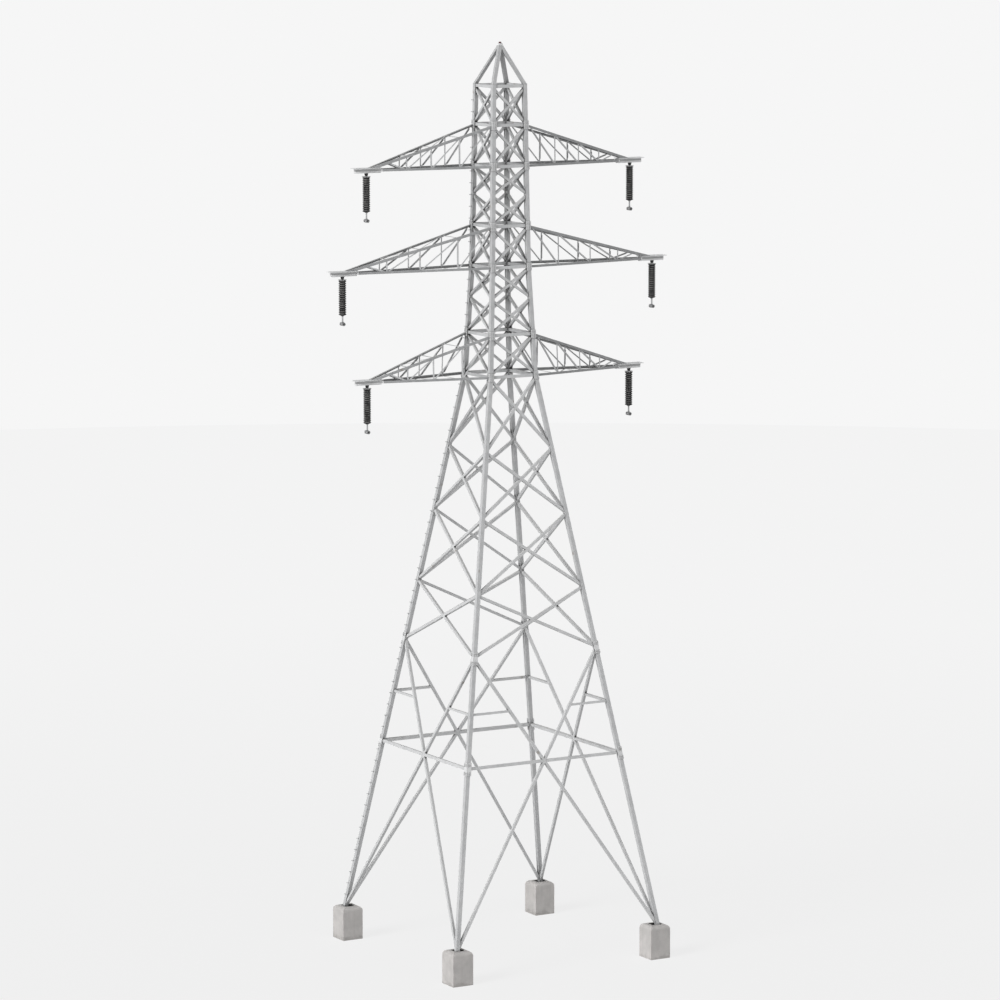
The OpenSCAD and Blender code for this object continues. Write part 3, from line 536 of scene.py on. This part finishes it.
plates = bmesh.new()
plates.from_mesh(nodes["leg_splice_plates"].data)
bmesh.ops.remove_doubles(plates, verts=plates.verts, dist=SAME_POINT)
bmesh.ops.dissolve_limit(plates, angle_limit=SAME_PLANE, verts=plates.verts, edges=plates.edges)
places = []
for face in plates.faces:
    centre = face.calc_center_median()
    outwards = max(face.normal.x * math.copysign(1, centre.x), face.normal.y * math.copysign(1, centre.y))
    if len(face.verts) != 4 or outwards < FACING_OUT:
        continue
    corners = sorted((v.co.copy() for v in face.verts), key=lambda p: p.z)
    left, right = sorted(corners[:2], key=lambda p: p.x + p.y)
    up = sorted(corners[2:], key=lambda p: p.x + p.y)[0] - left
    side = (right - left).normalized()
    rows = list(BOLT_ROWS)
    if up.length > FULL_PLATE:
        rows += [up.length - r for r in BOLT_ROWS]
    for row in rows:
        for column in BOLT_COLUMNS:
            at = left + row * up.normalized() + column * (right - left)
            places.append((at, face.normal.copy(), side))
plates.free()
hex_bolts("splice_bolts", places, BOLT_ACROSS, BOLT_HEIGHT, "root", bolt_zinc)


# Bracing: lighter square hollow sections, crossed in panels on the four faces and welded to the
# legs and to each other, with the belt at the base and level struts in the cage. The bars of the
# cage stand close together, and their finish is painted darker there as shade.
FACES = ["front", "right", "back", "left"]
BRACE_LIGHT = (0.720, 0.724, 0.728, 1.0)
BRACE_DARK = (0.590, 0.594, 0.598, 1.0)
CAGE_LIGHT = (0.720, 0.724, 0.728, 1.0)
CAGE_DARK = (0.560, 0.565, 0.570, 1.0)
brace_zinc = galvanised(
    "brace_zinc", BRACE_LIGHT, BRACE_DARK, crystals=70.0, streaks=0.06, shade_grime=0.9, lattice_shade=0.2)
# The cage finish has a darker dark tone and strong painted shade between the close bars.
cage_zinc = galvanised("cage_zinc", CAGE_LIGHT, CAGE_DARK, crystals=75.0, streaks=0.1, shade_grime=0.95, lattice_shade=0.9)
dress(["body_bracing_" + f for f in FACES], brace_zinc)
dress(["cage_bracing_" + f for f in FACES], cage_zinc)


# Peak and step bolts: four square sections that lean together under a bevelled cap,
# and a ladder of bolts with round heads on the back left leg.
PEAK_LIGHT = (0.600, 0.604, 0.608, 1.0)
PEAK_DARK = (0.450, 0.455, 0.461, 1.0)
peak_zinc = galvanised("peak_zinc", PEAK_LIGHT, PEAK_DARK, shade_grime=0.4, lattice_shade=0.2)
dress(["peak_frame", "step_bolts"], peak_zinc)
dress(["peak_cap"], plate_zinc)


# Warning lamp: a low dark red lens on the cap, moulded with upright ribs. Weather has dulled
# its crown, and its base ring is darker.
LAMP_RED = (0.150, 0.016, 0.024, 1.0)
LAMP_DEEP = (0.050, 0.008, 0.012, 1.0)
LAMP_FILM = 40.0
LAMP_DUST = 0.3
LAMP_ROUGH = (0.22, 0.60)
LAMP_RING = 0.019
LAMP_RING_EDGE = 0.002
LAMP_RIBS = 24.0
RIB_BUMP = 0.6
RIB_DEPTH = 0.002
lamp_lens, tree, skin = new_finish("lamp_lens")
place = frame_place(tree)
turn = calc(tree, "ARCTAN2", place[1], place[0])
ribs = calc(tree, "SINE", times(tree, turn, LAMP_RIBS))
lamp_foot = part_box("warning_lamp")[0].z
on_ring = ramp(tree, place[2], lamp_foot + LAMP_RING, lamp_foot + LAMP_RING - LAMP_RING_EDGE)
tone = blend(tree, ramp(tree, ribs, -1.0, 1.0), LAMP_DEEP, LAMP_RED)
tone = blend(tree, on_ring, tone, LAMP_DEEP)
film = effect(tree, settled_dust, {"Scale": LAMP_FILM, "Strength": LAMP_DUST})
tree.links.new(blend(tree, film, tone, ZINC_DUST), skin["Base Color"])
tree.links.new(ramp(tree, film, 0.0, LAMP_DUST, *LAMP_ROUGH), skin["Roughness"])
bump = add(tree, "Bump", {"Strength": RIB_BUMP, "Distance": RIB_DEPTH, "Height": ribs})
tree.links.new(bump.outputs[0], skin["Normal"])
dress(["warning_lamp"], lamp_lens)


# Cross-arms: four chords of angle that close in on a tip beam with a wide plate. The beams are newer
# and paler, with a grey band of shade along their sides, and the hangers under them, with their pins
# and nuts, have gone nearly black.
LEVELS = ("low", "mid", "top")
SIDES = ("left", "right")
ARM_LIGHT = (0.440, 0.445, 0.450, 1.0)
ARM_DARK = (0.310, 0.315, 0.320, 1.0)
BEAM_PALE = (0.800, 0.804, 0.808, 1.0)
BEAM_INWARDS = 0.530
BEAM_DEPTH = 0.174
BEAM_END = 0.001
BEAM_EDGE = 0.002
BAND_GREY = (0.400, 0.402, 0.404, 1.0)
BAND_FOOT = 0.055
BAND_TOP = 0.130
BAND_EDGE = 0.020
BAND_INSET = 0.030
HANGER_BLACK = (0.022, 0.022, 0.023, 1.0)
HANGER_DEPTH = 0.099
HANGER_HALF = 0.028
HANGER_EDGE = 0.0002
NUT_GREY = (0.060, 0.060, 0.061, 1.0)
NUT_ACROSS = 0.040
NUT_HEIGHT = 0.018
UPWARDS = Vector((0.0, 0.0, 1.0))


def tint(finish, masks, colour):
    """Lays a colour over a finish where all the masks meet; a mask is an axis and its two edges."""
    tree = finish.node_tree
    place = frame_place(tree)
    mask = 1.0
    for axis, nothing, full in masks:
        out = place[axis]
        if axis == 0:
            out = calc(tree, "ABSOLUTE", out)
        mask = times(tree, ramp(tree, out, nothing, full), mask)
    overlay(tree, mask, colour)


pins = {j["child"]: Vector(j["pos_m"]) for j in frame["record"]["behaviour"]["joints"]}
places = []
for level in LEVELS:
    arm_zinc = galvanised("arm_zinc_" + level, ARM_LIGHT, ARM_DARK, crystals=65.0, shade_grime=0.35)
    arm_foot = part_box("arm_%s_right" % level)[0].z
    beam_start = pins["string_%s_right" % level].x - BEAM_INWARDS
    beam_foot = arm_foot + HANGER_DEPTH
    beam_top = beam_foot + BEAM_DEPTH
    band_start = beam_start + BAND_INSET
    band_foot = beam_foot + BAND_FOOT
    band_top = beam_foot + BAND_TOP
    on_beam = [
        (0, beam_start - BEAM_END, beam_start + BEAM_END),
        (2, beam_top + 2 * BEAM_EDGE, beam_top + BEAM_EDGE),
    ]
    on_band = [
        (0, band_start, band_start + BAND_EDGE),
        (2, band_foot, band_foot + BAND_EDGE),
        (2, band_top, band_top - BAND_EDGE),
    ]
    on_hanger = [(2, beam_foot - HANGER_EDGE, beam_foot - 2 * HANGER_EDGE)]
    tint(arm_zinc, on_beam, BEAM_PALE)
    tint(arm_zinc, on_band, BAND_GREY)
    tint(arm_zinc, on_hanger, HANGER_BLACK)
    dress(["arm_%s_%s" % (level, side) for side in SIDES], arm_zinc)
    for side in SIDES:
        for way in (-1, 1):
            out = Vector((0.0, way, 0.0))
            places.append((pins["string_%s_%s" % (level, side)] + HANGER_HALF * out, out, UPWARDS))
nut_black = galvanised("nut_black", NUT_GREY, HANGER_BLACK, crystals=150.0, streaks=0.0, dust=0.1)
hex_bolts("hanger_nuts", places, NUT_ACROSS, NUT_HEIGHT, "root", nut_black)


# Arm lacing: small angles and flats on all four sides of the arms, set on the inner side of the
# chords. They are thinner than the chords and have stayed lighter.
LACING_LIGHT = (0.660, 0.665, 0.670, 1.0)
LACING_DARK = (0.500, 0.505, 0.511, 1.0)
lacing_zinc = galvanised("lacing_zinc", LACING_LIGHT, LACING_DARK, crystals=85.0, streaks=0.06, shade_grime=0.1)
dress(["lacing_%s_%s" % (level, side) for level in LEVELS for side in SIDES], lacing_zinc)


# Insulator strings: stacks of sixteen dark glazed sheds, turned and fired in one piece. Each shed
# slopes to a rounded rim over a hollow with a drip edge; dust lies on the slopes, and the gaps
# between sheds are painted near-black as shade.
# A point of the profile is its share of the way from core to rim, and of the height of a shed.
GLAZE_GREY = (0.012, 0.012, 0.013, 1.0)
GLAZE_GAP_SHADE = (0.004, 0.004, 0.004, 1.0)
GLAZE_DUST = (0.230, 0.226, 0.220, 1.0)
GLAZE_FILM = 9.0
GLAZE_DUSTY = 0.95
GLAZE_ROUGH = (0.35, 0.80)
GLAZE_SPECULAR = 0.15
GAP_SHADE_REACH = 0.09
GAP_SHADE_SHARE = 1.0
SHED_COUNT = 16
SHED_SIDES = 64
CORE_SHARE = 0.766
SHED_PROFILE = (
    (0.0, 0.00), (0.0, 0.48), (0.30, 0.44), (0.34, 0.32), (0.44, 0.32), (0.50, 0.40), (0.80, 0.34),
    (0.90, 0.24), (0.97, 0.25), (1.0, 0.30), (1.0, 0.56), (0.96, 0.61), (0.72, 0.68), (0.36, 0.79),
    (0.0, 0.97),
)
shed_glaze, tree, skin = new_finish("shed_glaze")
film = effect(tree, settled_dust, {"Scale": GLAZE_FILM, "Strength": GLAZE_DUSTY})
# Painted shade: the gaps between the sheds are darkened to near-black.
gap_shade = effect(tree, shade_and_grime, {"Reach": GAP_SHADE_REACH, "Strength": GAP_SHADE_SHARE})
tone = blend(tree, gap_shade, GLAZE_GREY, GLAZE_GAP_SHADE)
tree.links.new(blend(tree, film, tone, GLAZE_DUST), skin["Base Color"])
tree.links.new(ramp(tree, film, 0.0, 1.0, *GLAZE_ROUGH), skin["Roughness"])
skin["Specular IOR Level"].default_value = GLAZE_SPECULAR
for level in LEVELS:
    for side in SIDES:
        name = "insulator_%s_%s" % (level, side)
        low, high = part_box(name)
        middle = (low + high) / 2
        radius = (high.y - low.y) / 2
        core = CORE_SHARE * radius
        pitch = (high.z - low.z) / SHED_COUNT
        line = []
        for n in range(SHED_COUNT):
            line += [(core + p * (radius - core), low.z + (n + q) * pitch) for p, q in SHED_PROFILE]
        line.append((core, high.z))
        points = []
        for r, z in line:
            for i in range(SHED_SIDES):
                turn = 2 * math.pi * i / SHED_SIDES
                points.append((middle.x + r * math.cos(turn), r * math.sin(turn), z))
        last = SHED_SIDES * (len(line) - 1)
        faces = [list(reversed(range(SHED_SIDES))), [last + i for i in range(SHED_SIDES)]]
        for first in range(0, last, SHED_SIDES):
            faces += ring_faces(first, SHED_SIDES)
        sheds = new_piece("sheds_%s_%s" % (level, side), points, faces, shed_glaze)
        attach(sheds, "string_%s_%s" % (level, side))
        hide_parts(name)


# Fittings: forged and galvanised eye, disc, rod and conductor clamp of each string. The disc stays
# bright; the clamp, with its four keeper bolts, is darker.
FITTING_LIGHT = (0.560, 0.564, 0.570, 1.0)
FITTING_DARK = (0.400, 0.404, 0.410, 1.0)
CLAMP_DARK = (0.270, 0.271, 0.274, 1.0)
CLAMP_HEIGHT = 0.130
CLAMP_EDGE = 0.002
CLAMP_RADIUS = 0.059
KEEPER_ALONG = 0.070
KEEPER_ACROSS = 0.030
KEEPER_HEIGHT = 0.014
ALONG_LINE = Vector((0.0, 1.0, 0.0))
for level in LEVELS:
    fitting_zinc = galvanised("fitting_zinc_" + level, FITTING_LIGHT, FITTING_DARK, crystals=110.0)
    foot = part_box("fittings_%s_right" % level)[0].z
    tint(fitting_zinc, [(2, foot + CLAMP_HEIGHT + CLAMP_EDGE, foot + CLAMP_HEIGHT)], CLAMP_DARK)
    dress(["fittings_%s_%s" % (level, side) for side in SIDES], fitting_zinc)
    for side in SIDES:
        centre = Vector((pins["string_%s_%s" % (level, side)].x, 0.0, foot + CLAMP_RADIUS))
        places = []
        for way in (-1, 1):
            out = Vector((way, 0.0, 0.0))
            for along in (-KEEPER_ALONG, KEEPER_ALONG):
                places.append((centre + CLAMP_RADIUS * out + along * ALONG_LINE, out, ALONG_LINE))
        hex_bolts(
            "keeper_bolts_%s_%s" % (level, side), places, KEEPER_ACROSS, KEEPER_HEIGHT,
            "string_%s_%s" % (level, side), bolt_zinc)


# Sizes: the box of the dressed scene, leaving out the backdrop and hidden parts.
low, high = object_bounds()
